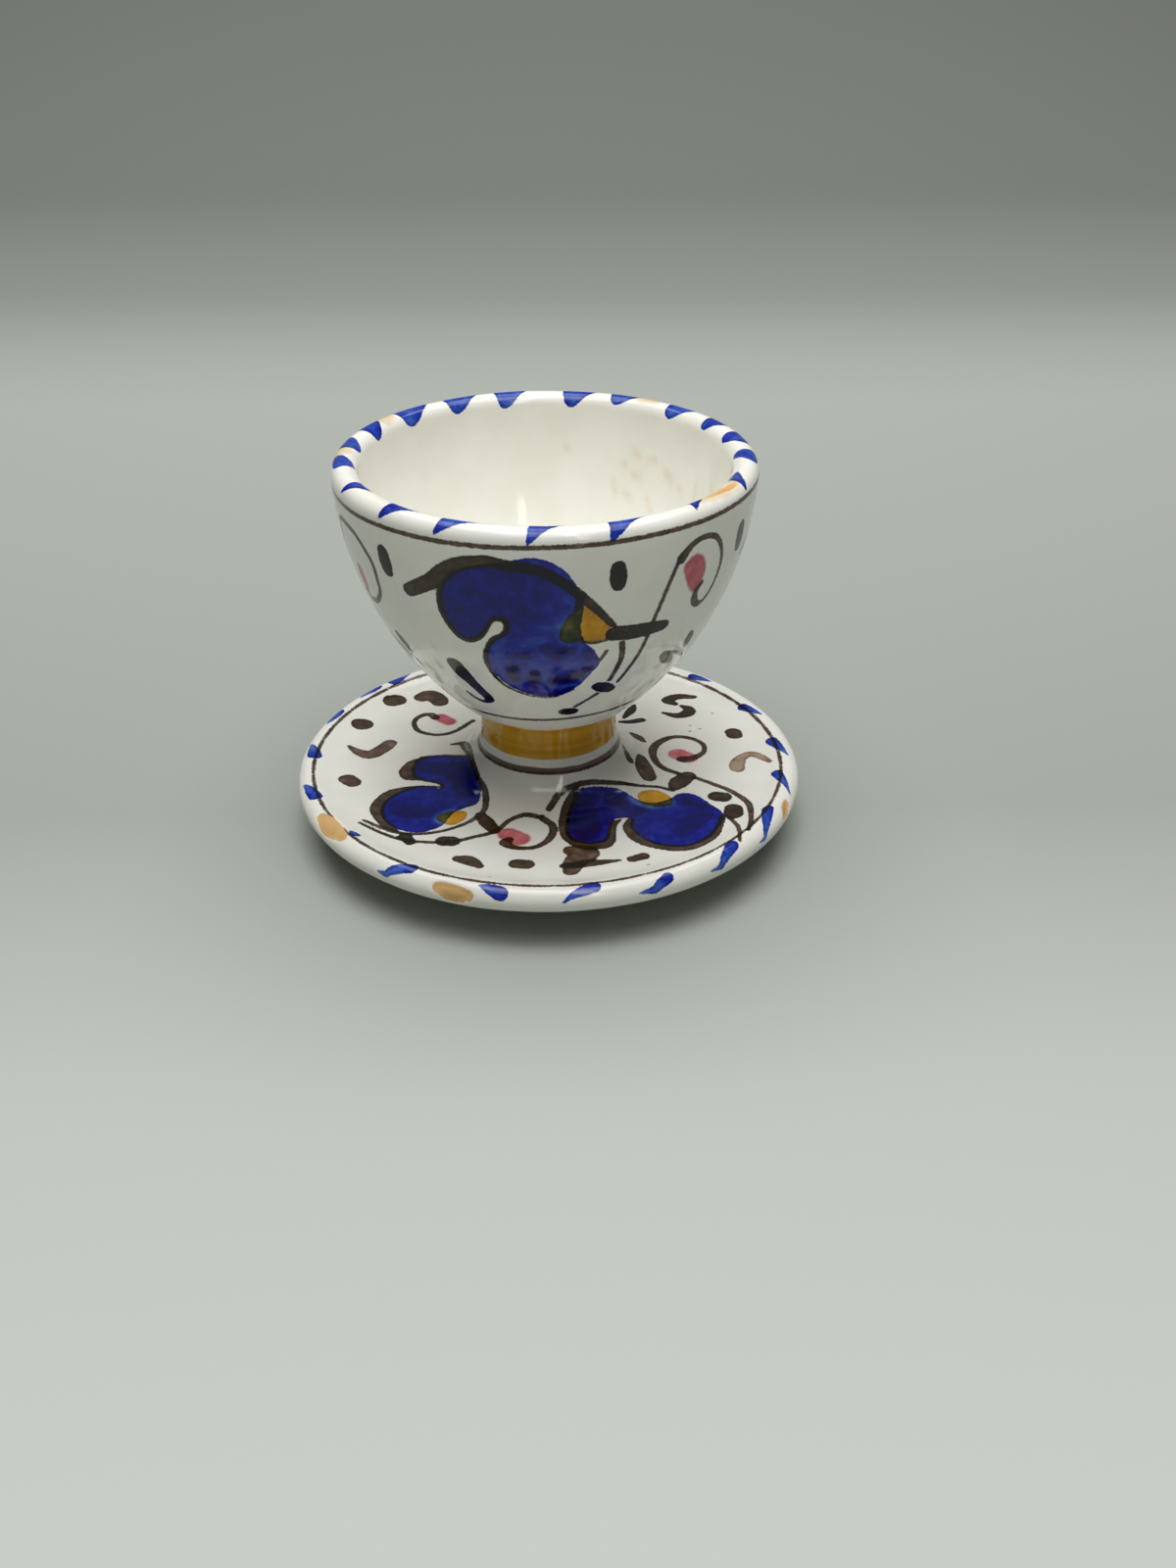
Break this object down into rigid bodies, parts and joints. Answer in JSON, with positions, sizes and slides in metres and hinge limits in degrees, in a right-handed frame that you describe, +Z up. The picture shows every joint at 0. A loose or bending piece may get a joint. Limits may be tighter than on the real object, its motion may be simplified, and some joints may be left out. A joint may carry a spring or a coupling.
{
  "type": "egg cup",
  "caption": "Tin-glazed earthenware egg cup: a deep round bowl on a short foot that is luted to its own saucer, with hand-painted scrolls, leaves and rim dashes.",
  "frame": {"origin": "centre of the foot ring's bottom, on the surface that the cup stands on", "axes": "+Z up along the axis of the bowl, foot and saucer; -Y towards the side that faces the viewer"},
  "size_m": [0.0714, 0.0714, 0.0542],
  "materials": {
    "earthenware": "matt fired buff clay",
    "clay_slip": "matt fired slip",
    "tin_glaze": "glossy opaque white tin glaze, painted"
  },
  "bodies": {
    "root": {"bowl": "earthenware", "foot": "earthenware", "saucer": "earthenware", "upper_slip_joint": "clay_slip", "lower_slip_joint": "clay_slip", "bowl_glaze": "tin_glaze", "foot_glaze": "tin_glaze", "saucer_glaze": "tin_glaze", "base_glaze": "tin_glaze"}
  },
  "joints": []
}
